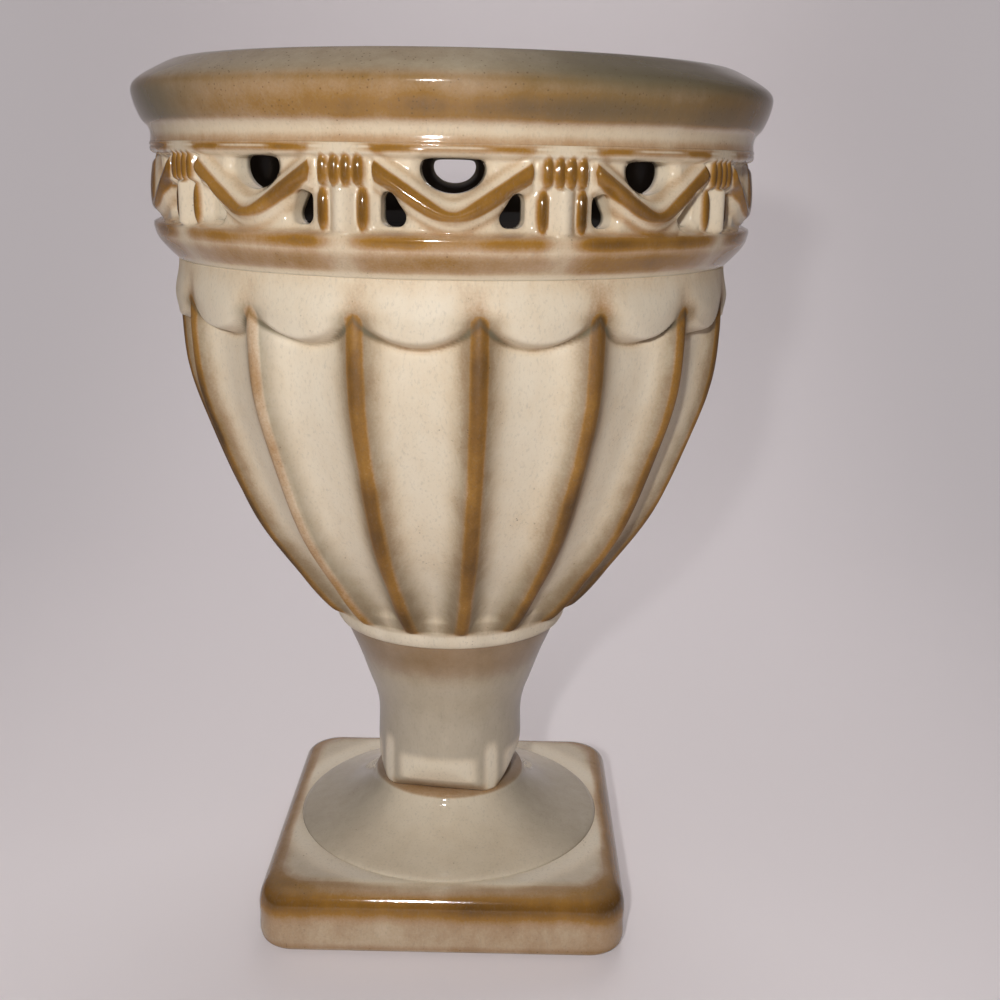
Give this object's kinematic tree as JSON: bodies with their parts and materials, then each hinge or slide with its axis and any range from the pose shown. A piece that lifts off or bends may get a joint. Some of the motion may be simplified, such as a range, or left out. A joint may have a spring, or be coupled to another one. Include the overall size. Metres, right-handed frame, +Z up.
{
  "type": "urn vase",
  "caption": "Glazed pottery pedestal urn: fluted bowl with hanging tongues, pierced swag gallery, rolled lip, waisted stem and flared foot on a square plinth. Holds flowers or a candle.",
  "frame": {"origin": "centre of the plinth's flat foot rim, on the surface the urn stands on", "axes": "+Z up along the urn's axis, X and Y along the sides of the square plinth, -Y towards the viewer of the picture"},
  "size_m": [0.127, 0.127, 0.178],
  "materials": {
    "foot_glaze": "glossy cream glaze breaking amber on the edges",
    "stem_glaze": "glossy mottled beige glaze",
    "bowl_glaze": "glossy cream glaze breaking amber on the ridges",
    "gallery_glaze": "glossy cream and amber glaze",
    "rim_glaze": "glossy tan glaze, olive on top"
  },
  "bodies": {
    "root": {"square_plinth": "foot_glaze", "foot_flare": "foot_glaze", "stem": "stem_glaze", "fluted_bowl": "bowl_glaze", "pierced_gallery": "gallery_glaze", "rim_lip": "rim_glaze"}
  },
  "joints": []
}
